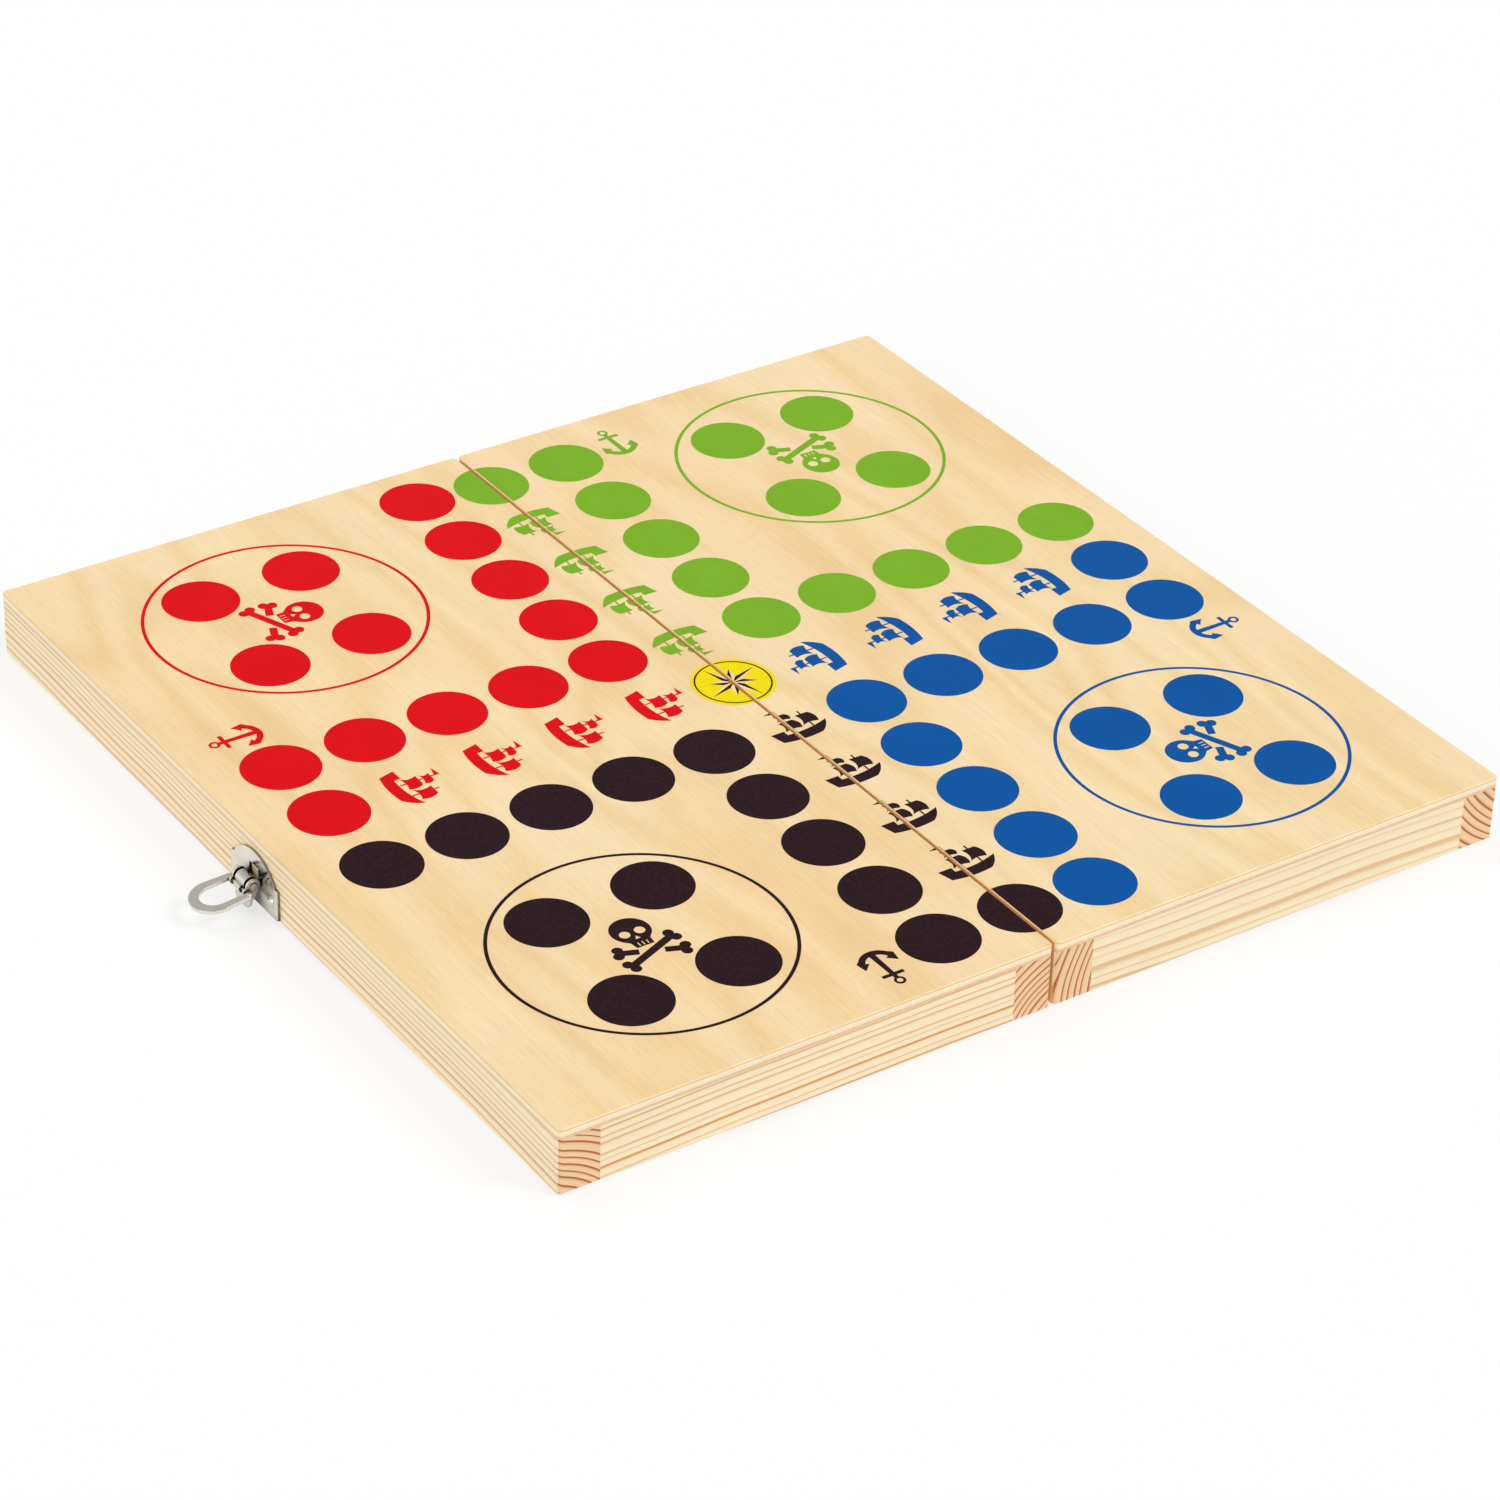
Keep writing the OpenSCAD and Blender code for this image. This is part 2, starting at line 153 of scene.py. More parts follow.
# A Mix node's sockets by number, because some share a name: its factor, the two numbers or the two
# colours that it mixes, and the mixed colour
FACTOR, NUMBER_A, NUMBER_B = 0, 2, 3
COLOUR_A, COLOUR_B, MIXED_COLOUR = 6, 7, 2

# Clear satin lacquer: the sanded fibres under it hold back a part of its shine
LACQUER = {"IOR": 1.5, "Specular IOR Level": 0.3}


def linear(hex_colour):
    """Turns an sRGB colour, such as e0c090, to the linear one that the shaders take."""
    channels = [int(hex_colour[i:i + 2], 16) / 255 for i in (0, 2, 4)]
    return [c / 12.92 if c <= 0.04045 else ((c + 0.055) / 1.055) ** 2.4 for c in channels] + [1.0]


def add(tree, kind, inputs=(), stops=(), **settings):
    """Adds a node. inputs maps its sockets to values, or to the sockets that their values come from.
    stops are a colour ramp's places and colours, the two ends first."""
    node = tree.nodes.new(kind)
    for name, value in settings.items():
        setattr(node, name, value)
    for socket, value in dict(inputs).items():
        if isinstance(value, bpy.types.NodeSocket):
            tree.links.new(value, node.inputs[socket])
        else:
            node.inputs[socket].default_value = value
    for k, (place, colour) in enumerate(stops):
        elements = node.color_ramp.elements
        stop = elements[k] if k < 2 else elements.new(place)
        stop.position = place
        stop.color = linear(colour)
    return node


def new_material(name):
    """An empty material with its node tree."""
    material = bpy.data.materials.new(name)
    material.use_nodes = True
    material.node_tree.nodes.clear()
    return material, material.node_tree


def object_mm(tree):
    """The Object coordinates in millimetres."""
    place = add(tree, "ShaderNodeTexCoord")
    return add(tree, "ShaderNodeVectorMath", {0: place.outputs["Object"], "Scale": 1 / MM},
               operation="SCALE").outputs[0]


def noise(tree, vector, stretch, low, high, detail=2.0, shift=0.0):
    """Noise along stretched coordinates, as a factor between low and high.
    stretch is how many grains of the pattern there are to a millimetre along each axis."""
    placed = add(tree, "ShaderNodeMapping", {"Vector": vector, "Location": (shift, shift, shift),
                                             "Scale": stretch})
    grain = add(tree, "ShaderNodeTexNoise", {"Vector": placed.outputs[0], "Scale": 1.0,
                                             "Detail": detail, "Roughness": 0.55})
    return add(tree, "ShaderNodeMapRange", {"Value": grain.outputs["Fac"], "From Min": 0.28,
                                            "From Max": 0.72, "To Min": low, "To Max": high}).outputs[0]


def tinted(tree, colour, factors):
    """A colour multiplied by each factor in turn."""
    for factor in factors:
        scaled = add(tree, "ShaderNodeVectorMath", {0: colour, "Scale": factor}, operation="SCALE")
        colour = scaled.outputs[0]
    return colour


def facing(tree, axis):
    """1 where the object's surface faces along an axis, 0 where it faces across it."""
    normal = add(tree, "ShaderNodeTexCoord").outputs["Normal"]
    part = add(tree, "ShaderNodeSeparateXYZ", {0: normal}).outputs[axis]
    size = add(tree, "ShaderNodeMath", {0: part}, operation="ABSOLUTE").outputs[0]
    return add(tree, "ShaderNodeMapRange", {"Value": size, "From Min": 0.55, "From Max": 0.65}).outputs[0]


def shaded_at_seam(tree, x, colour):
    """A colour with painted shade inside the seam, where the two halves part: a warmer, darker tan."""
    distance = add(tree, "ShaderNodeMath", {0: x}, operation="ABSOLUTE").outputs[0]
    inside = add(tree, "ShaderNodeMapRange", {"Value": distance, "From Min": SEAM_SHADE_FULL,
                                              "From Max": SEAM_SHADE_STARTS, "To Min": 1.0,
                                              "To Max": 0.0})
    return add(tree, "ShaderNodeMix", {FACTOR: inside.outputs[0], COLOUR_A: colour,
                                       COLOUR_B: linear("f0c48c")},
               data_type="RGBA").outputs[MIXED_COLOUR]


def pine(name, along, pith, ring, slope, contrast, shift):
    """Planed and clear-lacquered pine. Pale early wood with thin orange-brown late wood lines, which
    show as curved, redder rings on the sawn ends. shift moves the patterns."""
    material, tree = new_material(name)
    parts = add(tree, "ShaderNodeSeparateXYZ", {0: object_mm(tree)})
    across, fibre = ("Y", "X") if along == "X" else ("X", "Y")
    grain = add(tree, "ShaderNodeCombineXYZ", {0: parts.outputs[across], 1: parts.outputs["Z"],
                                               2: parts.outputs[fibre]}).outputs[0]
    tilted = add(tree, "ShaderNodeMapping", {"Vector": grain, "Location": (-pith[0], -pith[1], 0),
                                             "Rotation": (math.radians(slope), math.radians(-slope), 0)})
    # The rings wander by a few millimetres along the rail, as the trunk did
    wander = add(tree, "ShaderNodeMapping", {"Vector": grain, "Location": (shift, shift, shift),
                                             "Scale": (0.016, 0.016, 0.0085)})
    wandering = add(tree, "ShaderNodeTexNoise", {"Vector": wander.outputs[0], "Scale": 1.0,
                                                 "Detail": 2.0})
    swing = add(tree, "ShaderNodeVectorMath", {0: wandering.outputs["Color"], 1: (0.5, 0.5, 0.5)},
                operation="SUBTRACT")
    moved = add(tree, "ShaderNodeVectorMath", {0: swing.outputs[0], 1: (RING_WANDER, RING_WANDER, 0.0),
                                               2: tilted.outputs[0]}, operation="MULTIPLY_ADD")
    flat = add(tree, "ShaderNodeVectorMath", {0: moved.outputs[0], 1: (1, 1, 0)}, operation="MULTIPLY")
    radius = add(tree, "ShaderNodeVectorMath", {0: flat.outputs[0]}, operation="LENGTH").outputs["Value"]
    # Years differ: the spacing swells and shrinks over a few rings, and some late wood is stronger
    years = add(tree, "ShaderNodeTexNoise", {"W": radius, "Scale": 0.16, "Detail": 1.0},
                noise_dimensions="1D")
    count = add(tree, "ShaderNodeMath", {0: radius, 1: 1 / ring}, operation="MULTIPLY")
    uneven = add(tree, "ShaderNodeMath", {0: years.outputs["Fac"], 1: RING_UNEVEN, 2: count.outputs[0]},
                 operation="MULTIPLY_ADD").outputs[0]
    season = add(tree, "ShaderNodeMath", {0: uneven}, operation="FRACT").outputs[0]
    year = add(tree, "ShaderNodeMath", {0: uneven}, operation="FLOOR").outputs[0]
    vigour = add(tree, "ShaderNodeTexWhiteNoise", {"W": year}, noise_dimensions="1D")
    strength = add(tree, "ShaderNodeMapRange", {"Value": vigour.outputs["Value"],
                                                "To Min": WEAKEST_RING * contrast, "To Max": contrast})
    late = add(tree, "ShaderNodeValToRGB", {"Fac": season},
               stops=((0.0, "000000"), (1.0, "000000"), (0.45, "101010"), (0.68, "808080"),
                      (0.80, "ffffff"), (0.94, "ffffff"))).outputs[0]
    # A sawn end shows every ring at nearly full strength, and a planed side mostly the strong ones
    sawn = facing(tree, fibre)
    shown = add(tree, "ShaderNodeMix", {FACTOR: sawn, NUMBER_A: strength.outputs[0],
                                        NUMBER_B: SAWN_STRENGTH}).outputs[0]
    lines = add(tree, "ShaderNodeMath", {0: late, 1: shown}, operation="MULTIPLY").outputs[0]
    early_colour = add(tree, "ShaderNodeMix", {FACTOR: sawn, COLOUR_A: linear("fae7c0"),
                                               COLOUR_B: linear("f3cc9e")},
                       data_type="RGBA").outputs[MIXED_COLOUR]
    late_colour = add(tree, "ShaderNodeMix", {FACTOR: sawn, COLOUR_A: linear("d38a30"),
                                              COLOUR_B: linear("ae5508")},
                      data_type="RGBA").outputs[MIXED_COLOUR]
    colour = add(tree, "ShaderNodeMix", {FACTOR: lines, COLOUR_A: early_colour, COLOUR_B: late_colour},
                 data_type="RGBA").outputs[MIXED_COLOUR]
    # Painted shade: the faces inside the seam take a warmer, darker tan
    colour = shaded_at_seam(tree, parts.outputs["X"], colour)
    fibres = noise(tree, grain, (2.6, 2.6, 0.10), 0.965, 1.03, detail=4.0, shift=shift)
    broad = noise(tree, grain, (0.05, 0.05, 0.012), 0.97, 1.02, shift=shift + 7)
    # Short resin canals, where their noise is near its top
    canals = noise(tree, grain, (1.5, 1.5, 0.16), 0.0, 1.0, detail=1.0, shift=shift + 3)
    resin = add(tree, "ShaderNodeMapRange", {"Value": canals, "From Min": 0.93, "From Max": 1.06,
                                             "To Min": 1.0, "To Max": 0.84}).outputs[0]
    relief = add(tree, "ShaderNodeBump", {"Height": fibres, "Strength": 0.4, "Distance": 0.3 * MM})
    shader = add(tree, "ShaderNodeBsdfPrincipled", {
        "Base Color": tinted(tree, colour, (fibres, broad, resin)), "Roughness": 0.46,
        "Normal": relief.outputs[0], **LACQUER})
    add(tree, "ShaderNodeOutputMaterial", {"Surface": shader.outputs[0]})
    return material


def veneer_plywood():
    """Three-ply board, faced with rotary-cut birch veneer, sanded and clear-lacquered. The faces are pale
    with a faint flame and short pores along the seam; the edges show the cream core between the plies."""
    material, tree = new_material("birch_plywood_lacquered")
    place = object_mm(tree)
    parts = add(tree, "ShaderNodeSeparateXYZ", {0: place})
    # Flame: soft contour lines where the peeling knife crossed the growth rings
    lay = add(tree, "ShaderNodeMapping", {"Vector": place, "Scale": (0.020, 0.0045, 0.0)})
    height = add(tree, "ShaderNodeTexNoise", {"Vector": lay.outputs[0], "Scale": 1.0, "Detail": 1.5,
                                              "Distortion": 0.3})
    contour = add(tree, "ShaderNodeMath", {0: height.outputs["Fac"], 1: FLAME_WAVES},
                  operation="MULTIPLY")
    flame = add(tree, "ShaderNodeMath", {0: contour.outputs[0]}, operation="SINE")
    waves = add(tree, "ShaderNodeMapRange", {"Value": flame.outputs[0], "From Min": -1.0,
                                             "From Max": 1.0})
    face = add(tree, "ShaderNodeValToRGB", {"Fac": waves.outputs[0]},
               stops=((0.0, "f8e1b4"), (1.0, "f2d6a1"), (0.6, "f5dcaa")))
    # The bolt was warmer in some places and paler in others
    warmth = noise(tree, place, (0.011, 0.006, 0.0), 0.0, 1.0, shift=21)
    warmed = add(tree, "ShaderNodeMix", {FACTOR: warmth, COLOUR_A: linear("ffffff"),
                                         COLOUR_B: linear("fdf2e8")}, data_type="RGBA")
    face = add(tree, "ShaderNodeVectorMath", {0: face.outputs[0], 1: warmed.outputs[MIXED_COLOUR]},
               operation="MULTIPLY")
    # Plies, by their depth under the printed face: face veneer, glue line, core, glue line, back veneer
    depth = add(tree, "ShaderNodeMapRange", {"Value": parts.outputs["Z"], "From Min": TOP_Z,
                                             "From Max": TOP_Z - PANEL_T})
    plies = add(tree, "ShaderNodeValToRGB", {"Fac": depth.outputs[0]},
                stops=((0.0, "e8c98f"), (0.97, "d2a57c"), (0.17, "d8b07a"), (0.20, "fceac8"),
                       (0.55, "f7e1bd"), (0.76, "d9a683"), (0.81, "edcaa2")))
    plies.color_ramp.interpolation = "CONSTANT"
    colour = add(tree, "ShaderNodeMix", {FACTOR: facing(tree, "Z"), COLOUR_A: plies.outputs[0],
                                         COLOUR_B: face.outputs[0]},
                 data_type="RGBA").outputs[MIXED_COLOUR]
    # Painted shade: the faces inside the seam take a warmer, darker tan
    colour = shaded_at_seam(tree, parts.outputs["X"], colour)
    streaks = noise(tree, place, (0.7, 0.022, 0.3), 0.965, 1.03, detail=3.0)
    pores = noise(tree, place, (2.0, 0.14, 2.0), 0.945, 1.04, detail=4.0, shift=5)
    blotches = noise(tree, place, (0.03, 0.014, 0.0), 0.975, 1.02, shift=11)
    relief = add(tree, "ShaderNodeBump", {"Height": pores, "Strength": 0.35, "Distance": 0.2 * MM})
    shader = add(tree, "ShaderNodeBsdfPrincipled", {
        "Base Color": tinted(tree, colour, (streaks, pores, blotches)), "Roughness": 0.42,
        "Normal": relief.outputs[0], **LACQUER})
    add(tree, "ShaderNodeOutputMaterial", {"Surface": shader.outputs[0]})
    return material


def screen_ink(name, colour, roughness, sheen_speckle=0.04):
    """Screen-printed enamel ink: one even semi-gloss coat with a finely pebbled surface, through which
    the fibres of the veneer just show. The last argument is how far the tone differs in fine speckles of
    painted sheen, as the speckled highlight on black."""
    material, tree = new_material(name)
    place = object_mm(tree)
    fibres = noise(tree, place, (2.4, 0.16, 2.4), 0.0, 1.0, detail=3.0, shift=5)
    pebble = noise(tree, place, (1.6, 1.6, 1.6), 0.0, 1.0)
    surface = add(tree, "ShaderNodeMath", {0: fibres, 1: 0.5, 2: pebble}, operation="MULTIPLY_ADD")
    relief = add(tree, "ShaderNodeBump", {"Height": surface.outputs[0], "Strength": 0.3,
                                          "Distance": 0.06 * MM})
    # Broad patches a little lighter and darker: partly an uneven coat of ink, partly painted sheen that
    # varies across the fields
    coat_and_sheen = noise(tree, place, (0.09, 0.05, 0.0), 0.96, 1.04, detail=3.0, shift=2)
    # Painted sheen: fine speckles of lighter and darker tone, strong on black, stand in for its speckled
    # highlight
    speckled_sheen = noise(tree, place, (1.3, 1.3, 1.3), 1 - sheen_speckle, 1 + sheen_speckle, shift=6)
    base = add(tree, "ShaderNodeRGB")
    base.outputs[0].default_value = linear(colour)
    shader = add(tree, "ShaderNodeBsdfPrincipled", {
        "Base Color": tinted(tree, base.outputs[0], (coat_and_sheen, speckled_sheen)), "Roughness": roughness, "IOR": 1.5,
        "Specular IOR Level": 0.04, "Normal": relief.outputs[0]})
    add(tree, "ShaderNodeOutputMaterial", {"Surface": shader.outputs[0]})
    return material


def nickel_plate(name, tone, smooth, dull, darkest_painted_shade):
    """Bright nickel on pressed steel: a warm grey mirror, blurred by handling, with a faint ripple from
    the press tool and edges that were tumbled round. smooth and dull are its least and most roughness,
    and the last argument is how dark the painted shade makes it in the tightest corners."""
    material, tree = new_material(name)
    place = object_mm(tree)
    handling = noise(tree, place, (0.5, 0.5, 0.5), smooth, dull, detail=4.0)
    ripple = noise(tree, place, (0.8, 0.8, 0.8), 0.0, 1.0, detail=3.0, shift=9)
    edges = add(tree, "ShaderNodeBevel", {"Radius": 0.12 * MM}, samples=6)
    # Painted shade: the colour darkens by the ambient occlusion, where the pieces lie close together
    open_sky = add(tree, "ShaderNodeAmbientOcclusion", {"Distance": 6.0 * MM}, samples=12)
    painted_crevice_shade = add(tree, "ShaderNodeMapRange", {
        "Value": open_sky.outputs["AO"], "From Min": 0.35, "From Max": 0.86, "To Min": darkest_painted_shade,
        "To Max": 1.0}).outputs[0]
    relief = add(tree, "ShaderNodeBump", {"Height": ripple, "Strength": 0.25, "Distance": 0.05 * MM,
                                          "Normal": edges.outputs[0]})
    base = add(tree, "ShaderNodeRGB")
    base.outputs[0].default_value = linear(tone)
    stain = noise(tree, place, (0.3, 0.3, 0.3), 0.93, 1.04, detail=3.0, shift=4)
    # The base colour carries the painted shade of the corners as well as the random stain
    shader = add(tree, "ShaderNodeBsdfPrincipled", {
        "Base Color": tinted(tree, base.outputs[0], (stain, painted_crevice_shade)), "Metallic": 1.0,
        "Roughness": handling, "Normal": relief.outputs[0]})
    add(tree, "ShaderNodeOutputMaterial", {"Surface": shader.outputs[0]})
    return material


def dress_frame():
    """Gives each CAD node its finish."""
    plywood = veneer_plywood()
    # The last number of each sheet is how dark its painted shade gets in the tightest corners
    latch_plate = nickel_plate("nickel_plated_latch_sheet", "e3ddd3", smooth=0.10, dull=0.24, darkest_painted_shade=0.05)
    hinge_plate = nickel_plate("nickel_plated_hinge_sheet", "d9d3c8", smooth=0.16, dull=0.30, darkest_painted_shade=0.55)
    wire = nickel_plate("nickel_plated_wire", "d6d0c6", smooth=0.12, dull=0.26, darkest_painted_shade=0.35)
    for k, (node, part) in enumerate(sorted(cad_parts.items())):
        if node in RAILS:
            finish = pine("pine_" + node, shift=RAIL_SHIFT * k, **RAILS[node])
        elif node.endswith("panel"):
            finish = plywood
        elif any(word in node for word in ("pin", "nails", "screws")):
            finish = wire
        elif "leaf" in node:
            finish = hinge_plate
        else:
            finish = latch_plate
        part.data.materials.clear()
        part.data.materials.append(finish)


def arc(centre, radius, start, end, steps=24):
    """Points of an arc between two angles in degrees, with both ends."""
    angles = [math.radians(start + (end - start) * k / steps) for k in range(steps + 1)]
    return [(centre[0] + radius * math.cos(a), centre[1] + radius * math.sin(a)) for a in angles]


def ring_of(centre, radius, steps=RIM_VERTICES):
    """A closed circle."""
    return arc(centre, radius, 0, 360, steps)[:-1]


def bow(start, end, sag, steps=8):
    """Points from start to end along a curve that swells to its left by sag, without the end point."""
    run, rise = end[0] - start[0], end[1] - start[1]
    reach = math.hypot(run, rise)
    swell = [4 * sag * (k / steps) * (1 - k / steps) / reach for k in range(steps)]
    return [(start[0] + run * k / steps - rise * s, start[1] + rise * k / steps + run * s)
            for k, s in enumerate(swell)]


def box_outline(left, low, right, high):
    """An upright rectangle."""
    return [(left, low), (right, low), (right, high), (left, high)]


def mirrored(half):
    """A closed outline from its right half, given from one end of the middle line to the other."""
    return half + [(-x, y) for x, y in reversed(half) if x > 0.001]


def turned(outline, degrees, place=(0.0, 0.0), scale=1.0):
    """An outline scaled and turned about its own origin, and put in its place."""
    c, s = scale * math.cos(math.radians(degrees)), scale * math.sin(math.radians(degrees))
    return [(place[0] + c * x - s * y, place[1] + s * x + c * y) for x, y in outline]


def bone_tip(reach, half_w):
    """The end of a bone along +X: from the shaft's lower edge round both knobs to its upper edge."""
    knob, spread = 1.4, 1.2
    notch = math.degrees(math.asin(spread / knob))
    edge = math.degrees(math.asin((spread - half_w) / knob))
    upper = arc((reach, spread), knob, -notch, 180 + edge)
    return [(x, -y) for x, y in reversed(upper)] + upper[1:]


def skull_and_bones():
    """A skull above two crossed bones. Eyes, nose and the gaps of the teeth are left unprinted, and so is
    a gap where one bone passes behind the other."""
    skull = mirrored([(0, -1.6), (2.4, -1.6), (2.7, 0.7)] + arc((0, 5.4), 5.2, -50, 90))
    eyes = [ring_of((x, 4.5), 1.4, HOLE_VERTICES) for x in (-2.1, 2.1)]
    nose = [(0, 3.0), (0.75, 1.7), (-0.75, 1.7)]
    teeth = [box_outline(x - 0.17, -1.2, x + 0.17, 0.3) for x in (-1.2, 0, 1.2)]
    half_w, reach, lean, gap = 1.05, 8.2, 22, 3.1
    crossing = (0, -4.3)
    tip = bone_tip(reach, half_w)
    front = tip + turned(tip, 180)
    stub = [(gap, -half_w)] + tip + [(gap, half_w)]
    bones = [turned(front, lean, crossing)]
    bones += [turned(stub, angle, crossing) for angle in (-lean, 180 - lean)]
    return [skull, nose] + eyes + teeth + bones


def sail(left, foot, right, head):
    """A square sail, filled by wind from the left."""
    taper, arch, belly = 0.5, 0.6, 0.8
    return (bow((left, foot), (right, foot), arch) + bow((right, foot), (right - taper, head), -belly)
            + [(right - taper, head)] + bow((left + taper, head), (left, foot), belly))


def sailing_ship():
    """A small two-masted ship from the side, as a stencil: its parts don't touch."""
    hull = ([(-8.6, -1.6), (-7.4, -6.4)] + bow((-7.4, -6.4), (5.2, -6.8), -0.7)[1:]
            + bow((5.2, -6.8), (9.2, -1.8), -0.5) + bow((9.2, -1.8), (-4.4, -3.6), 0.8)
            + [(-4.4, -3.6), (-4.4, -1.6)])
    sails = [sail(-4.0, -2.2, 1.4, 2.4), sail(-3.5, 3.0, 0.9, 6.0), sail(2.2, -1.6, 7.2, 3.6)]
    masts = [box_outline(-1.6, -3.5, -1.1, -1.7), box_outline(-1.6, 2.45, -1.1, 3.5),
             box_outline(4.3, -3.05, 4.8, -1.1), box_outline(4.3, 3.65, 4.8, 5.2)]
    pennant = [(-1.6, 6.05), (-1.1, 6.05), (-1.1, 8.6), (-4.8, 7.9), (-1.6, 7.1)]
    return [hull, pennant] + sails + masts


def anchor():
    """A stocked anchor with its eye at the bottom, so that the flukes point into the board."""
    eye_middle = (0, 6.85)
    half = (arc(eye_middle, 1.6, 90, -66, 20) + [(0.65, 4.4), (3.3, 4.4), (3.3, 3.2), (0.7, 3.2)]
            + arc((0, -1.6), 4.0, -77, -28, 8) + [(2.6, -3.0), (5.1, -0.8), (5.7, -4.3)]
            + arc((0, -1.9), 5.6, -38, -90, 10))
    return [turned(outline, 180) for outline in (mirrored(half), ring_of(eye_middle, 0.85, HOLE_VERTICES))]


def compass_corners():
    """The corners of an eight-pointed compass star: a long point, a waist, a short point, a waist, and so
    on, turned so that no point lies on the seam."""
    long, short, waist = 10.0, 7.0, 3.2
    reach = (long, waist, short, waist)
    step = 360 / STAR_CORNERS
    return [turned([(reach[k % 4], 0)], step * (k + 1))[0] for k in range(STAR_CORNERS)]


def film_mesh(name, outlines, thickness):
    """A closed flat film on the printed face, from outlines; one that lies in another is a hole."""
    curve = bpy.data.curves.new(name, "CURVE")
    curve.dimensions = "2D"
    curve.fill_mode = "BOTH"
    curve.extrude = thickness / 2
    for outline in outlines:
        spline = curve.splines.new("POLY")
        spline.points.add(len(outline) - 1)
        spline.use_cyclic_u = True
        for point, (x, y) in zip(spline.points, outline):
            point.co = (x, y, 0, 1)
    holder = bpy.data.objects.new(name, curve)
    mesh = bpy.data.meshes.new_from_object(holder)
    bpy.data.objects.remove(holder)
    mesh.transform(Matrix.Translation((0, 0, TOP_Z - SUNK + thickness / 2)))
    mesh.transform(Matrix.Scale(MM, 4))
    return mesh


def on_each_half(name, mesh, ink):
    """Makes printed pieces of a mesh, one on each half of the board that it reaches, cut at the seam."""
    made = []
    for side, body in ((-1, "left_half"), (1, "right_half")):
        shape = bmesh.new()
        shape.from_mesh(mesh)
        bmesh.ops.remove_doubles(shape, verts=shape.verts, dist=MERGE * MM)
        cut = bmesh.ops.bisect_plane(shape, geom=shape.verts[:] + shape.edges[:] + shape.faces[:],
                                     dist=ON_CUT * MM, plane_co=(side * SEAM_MARGIN * MM, 0, 0),
                                     plane_no=(-side, 0, 0), clear_outer=True)
        edges = [e for e in cut["geom_cut"] if isinstance(e, bmesh.types.BMEdge)]
        if edges:
            bmesh.ops.edgenet_fill(shape, edges=edges)
        if shape.faces:
            bmesh.ops.recalc_face_normals(shape, faces=shape.faces)
            made.append((body, shape))
        else:
            shape.free()
    for body, shape in made:
        piece_name = name if len(made) == 1 else name + "_" + body.split("_")[0]
        piece_mesh = bpy.data.meshes.new(piece_name)
        shape.to_mesh(piece_mesh)
        shape.free()
        piece_mesh.materials.append(ink)
        piece = bpy.data.objects.new(piece_name, piece_mesh)
        bpy.context.scene.collection.objects.link(piece)
        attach(piece, body)


def disc_stamp():
    """A Geometry Nodes tree that lays a flat round film on every point that it is given."""
    tree = bpy.data.node_groups.new("disc_stamp", "GeometryNodeTree")
    sockets = (("Points", "Geometry"), ("Disc radius", "Float"), ("Film thickness", "Float"),
               ("Rim vertices", "Int"), ("Ink", "Material"))
    for name, kind in sockets:
        tree.interface.new_socket(name, in_out="INPUT", socket_type="NodeSocket" + kind)
    tree.interface.new_socket("Discs", in_out="OUTPUT", socket_type="NodeSocketGeometry")
    given = add(tree, "NodeGroupInput").outputs
    disc = add(tree, "GeometryNodeMeshCylinder", {
        "Vertices": given["Rim vertices"], "Radius": given["Disc radius"],
        "Depth": given["Film thickness"]}, fill_type="NGON")
    stamped = add(tree, "GeometryNodeInstanceOnPoints", {"Points": given["Points"],
                                                         "Instance": disc.outputs["Mesh"]})
    real = add(tree, "GeometryNodeRealizeInstances", {"Geometry": stamped.outputs[0]})
    inked = add(tree, "GeometryNodeSetMaterial", {"Geometry": real.outputs[0], "Material": given["Ink"]})
    add(tree, "NodeGroupOutput", {"Discs": inked.outputs[0]})
    return tree


def stamped_discs(name, tree, places, ink):
    """The mesh of a field's disc of ink round each place."""
    points = bpy.data.meshes.new(name)
    middle_z = TOP_Z - SUNK + FILM / 2
    points.from_pydata([(x * MM, y * MM, middle_z * MM) for x, y in places], [], [])
    holder = bpy.data.objects.new(name, points)
    bpy.context.scene.collection.objects.link(holder)
    stamp = holder.modifiers.new("stamp", "NODES")
    stamp.node_group = tree
    values = {"Disc radius": FIELD_R * MM, "Film thickness": FILM * MM, "Rim vertices": RIM_VERTICES,
              "Ink": ink}
    for socket in tree.interface.items_tree:
        if socket.name in values:
            stamp[socket.identifier] = values[socket.name]
    holder.update_tag()
    mesh = bpy.data.meshes.new_from_object(holder.evaluated_get(bpy.context.evaluated_depsgraph_get()))
    bpy.data.objects.remove(holder)
    mesh.materials.clear()
    return mesh


def print_player(colour, player, tree, ink):
    """One player's share of the board: ten fields, four home fields in a ring, and the figures."""
    turn, off = 90 * player["turns"], player["off"]
    path = [(-i, -1) for i in range(5, 0, -1)] + [(-1, -j) for j in range(2, 6)] + [(0, -5)]
    fields = turned([(PITCH * i, PITCH * j) for i, j in path], turn, off)
    on_each_half(colour + "_fields", stamped_discs(colour + "_fields", tree, fields, ink), ink)
    home = player["home"]
    corners = [(home[0] + sx * HOME_FIELD_X, home[1] + sy * HOME_FIELD_Y)
               for sx in (-1, 1) for sy in (-1, 1)]
    on_each_half(colour + "_home_fields", stamped_discs(colour + "_home", tree, corners, ink), ink)
    ships = []
    for place in turned([(0, -PITCH * j) for j in range(1, 5)], turn, off):
        ships += [turned(outline, turn, place) for outline in sailing_ship()]
    start = turned([ANCHOR_PLACE], turn, off)[0]
    figures = {
        "home_ring": [ring_of(home, radius, 2 * RIM_VERTICES) for radius in (HOME_R, HOME_R - HOME_LINE)],
        "skull": [turned(outline, turn, home, SKULL_SCALE) for outline in skull_and_bones()],
        "ships": ships,
        "anchor": [turned(outline, turn, start) for outline in anchor()],
    }
    for name, outlines in figures.items():
        on_each_half(colour + "_" + name, film_mesh(name, outlines, FILM), ink)


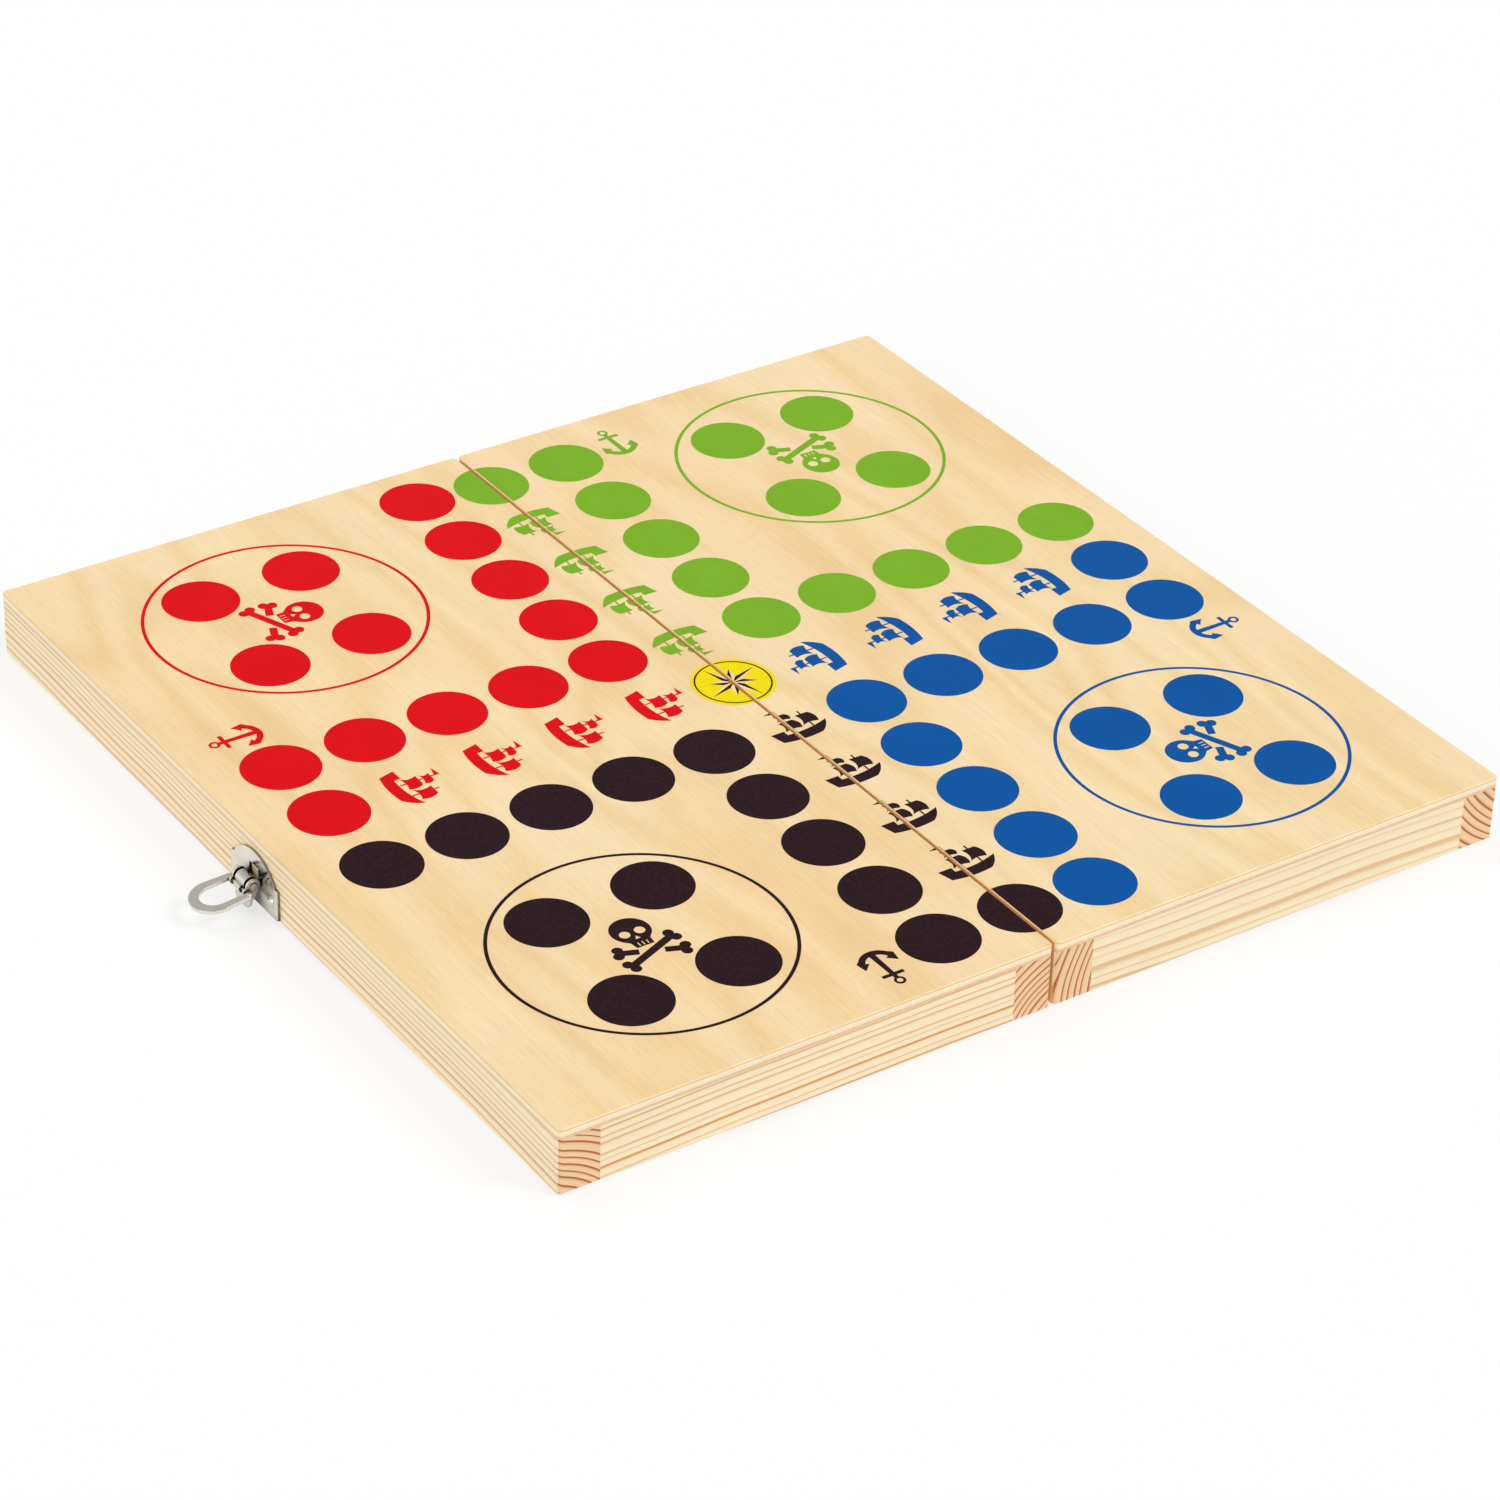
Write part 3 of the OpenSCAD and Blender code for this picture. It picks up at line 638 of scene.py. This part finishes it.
def print_centre(yellow, black):
    """The yellow middle disc with a compass star: one side of each point black, the other left bare."""
    middle = (0, 0)
    star = compass_corners()
    on_each_half("centre_disc", film_mesh("centre_disc", [ring_of(middle, CENTRE_R), star], FILM), yellow)
    shades = [[middle, star[k], star[k + 1]] for k in range(0, STAR_CORNERS, 2)]
    band = [ring_of(middle, radius) for radius in COMPASS_BAND_R]
    on_each_half("compass_star", film_mesh("compass_star", shades, FILM), black)
    on_each_half("compass_band", film_mesh("compass_band", band, FILM + OVERPRINT), black)


def print_board():
    """The whole screen-printed game, one ink after the other."""
    inks = {
        "red": screen_ink("screen_ink_red", "dc0411", roughness=0.40),
        # On black the speckles are strong: a painted speckled highlight
        "black": screen_ink("screen_ink_black", "28141a", roughness=0.38, sheen_speckle=0.4),
        "green": screen_ink("screen_ink_green", "7aaf26", roughness=0.40),
        "blue": screen_ink("screen_ink_blue", "00549f", roughness=0.38),
    }
    tree = disc_stamp()
    for colour, player in PLAYERS.items():
        print_player(colour, player, tree, inks[colour])
    print_centre(screen_ink("screen_ink_yellow", "f4dc0a", roughness=0.40), inks["black"])


def photo_camera():
    """A long lens from the front left, at the height from which the board shows its top and two sides."""
    eye = Vector((-658.6, -957.6, 742.2)) * MM
    forward = Vector((0.48023, 0.69158, -0.53954)).normalized()
    roll = math.radians(-1.707)
    level = forward.cross(Vector((0, 0, 1))).normalized()
    right = level * math.cos(roll) + forward.cross(level) * math.sin(roll)
    view = Matrix((right, right.cross(forward), -forward)).transposed().to_4x4()
    view.translation = eye
    lens = bpy.data.cameras.new("camera")
    lens.sensor_width = 36.0
    lens.lens = 118.58
    lens.clip_start = 0.01
    lens.clip_end = 50.0
    camera = bpy.data.objects.new("camera", lens)
    camera.matrix_world = view
    bpy.context.scene.collection.objects.link(camera)
    bpy.context.scene.camera = camera


def lamp(name, toward, strength, width):
    """A wide soft light from one direction, with the same strength everywhere."""
    light = bpy.data.lights.new(name, "SUN")
    light.energy = strength
    light.angle = math.radians(width)
    holder = bpy.data.objects.new(name, light)
    holder.rotation_euler = Vector(toward).to_track_quat("Z", "Y").to_euler()
    bpy.context.scene.collection.objects.link(holder)


def seen_directly(tree, path):
    """1 for camera, glossy and transmission rays, 0 for the rays that light the object."""
    either = add(tree, "ShaderNodeMath", {0: path["Is Camera Ray"], 1: path["Is Glossy Ray"]},
                 operation="MAXIMUM")
    return add(tree, "ShaderNodeMath", {0: either.outputs[0], 1: path["Is Transmission Ray"]},
               operation="MAXIMUM").outputs[0]


def white_room():
    """The world: white walls, and a darker ceiling where bright metal mirrors it."""
    world = bpy.data.worlds.new("white_room")
    world.use_nodes = True
    tree = world.node_tree
    tree.nodes.clear()
    path = add(tree, "ShaderNodeLightPath").outputs
    height = add(tree, "ShaderNodeSeparateXYZ", {0: add(tree, "ShaderNodeTexCoord").outputs["Generated"]})
    ceiling = add(tree, "ShaderNodeMapRange", {"Value": height.outputs["Z"], "From Min": 0.25,
                                               "From Max": 0.8, "To Min": 1.0,
                                               "To Max": MIRRORED_CEILING})
    mirrored_room = add(tree, "ShaderNodeMix", {FACTOR: path["Is Glossy Ray"], NUMBER_A: 1.0,
                                                NUMBER_B: ceiling.outputs[0]})
    strength = add(tree, "ShaderNodeMix", {FACTOR: seen_directly(tree, path), NUMBER_A: ROOM_LIGHT,
                                           NUMBER_B: mirrored_room.outputs[0]})
    room = add(tree, "ShaderNodeBackground", {"Color": linear("ffffff"), "Strength": strength.outputs[0]})
    add(tree, "ShaderNodeOutputWorld", {"Surface": room.outputs[0]})
    bpy.context.scene.world = world


def off_the_strip(tree):
    """1 on the open table, and 0 on its plain strip under the seam."""
    place = add(tree, "ShaderNodeSeparateXYZ", {0: add(tree, "ShaderNodeTexCoord").outputs["Object"]})
    outside = []
    for axis, reach in PLAIN_STRIP.items():
        distance = add(tree, "ShaderNodeMath", {0: place.outputs[axis]}, operation="ABSOLUTE")
        outside.append(add(tree, "ShaderNodeMath", {0: distance.outputs[0], 1: reach * MM},
                           operation="GREATER_THAN").outputs[0])
    return add(tree, "ShaderNodeMath", {0: outside[0], 1: outside[1]}, operation="MAXIMUM").outputs[0]


def white_table():
    """A matt white surface that keeps the object's shadow."""
    material, tree = new_material("matt_white_table")
    path = add(tree, "ShaderNodeLightPath").outputs
    pale = add(tree, "ShaderNodeBsdfDiffuse", {"Color": linear("fafafa")})
    white = add(tree, "ShaderNodeEmission", {"Color": linear("ffffff"), "Strength": 1.0})
    # Under the seam it is only as bright as the light that falls through, so that the seam stays dark
    shine = add(tree, "ShaderNodeMath", {0: off_the_strip(tree), 1: TABLE_SHINE}, operation="MULTIPLY")
    seen = add(tree, "ShaderNodeMixShader", {0: shine.outputs[0], 1: pale.outputs[0],
                                             2: white.outputs[0]})
    # What it throws back onto the object is even, so that the trays get light from below too
    glow = add(tree, "ShaderNodeEmission", {"Color": linear("ffffff"), "Strength": TABLE_GLOW})
    lit = add(tree, "ShaderNodeMixShader", {0: seen_directly(tree, path), 1: glow.outputs[0],
                                            2: seen.outputs[0]})
    # The table can't be seen from below, so that a view from there shows the trays
    below = add(tree, "ShaderNodeNewGeometry").outputs["Backfacing"]
    clear = add(tree, "ShaderNodeBsdfTransparent")
    sided = add(tree, "ShaderNodeMixShader", {0: below, 1: lit.outputs[0], 2: clear.outputs[0]})
    add(tree, "ShaderNodeOutputMaterial", {"Surface": sided.outputs[0]})
    return material


def studio():
    """A pale table in a white room, with a soft key light from the right and weaker ones from above
    and from the left."""
    white_room()
    for name, setting in LAMPS.items():
        lamp(name, **setting)
    table_mesh = bpy.data.meshes.new("table_top")
    level = cad_box[0].z - TABLE_GAP * MM
    corners = box_outline(-TABLE_REACH_M, -TABLE_REACH_M, TABLE_REACH_M, TABLE_REACH_M)
    table_mesh.from_pydata([(x, y, level) for x, y in corners], [], [(0, 1, 2, 3)])
    table_mesh.materials.append(white_table())
    table = bpy.data.objects.new("table_top", table_mesh)
    bpy.context.scene.collection.objects.link(table)
    bpy.context.scene.view_settings.view_transform = "Standard"


dress_frame()
print_board()
photo_camera()
studio()
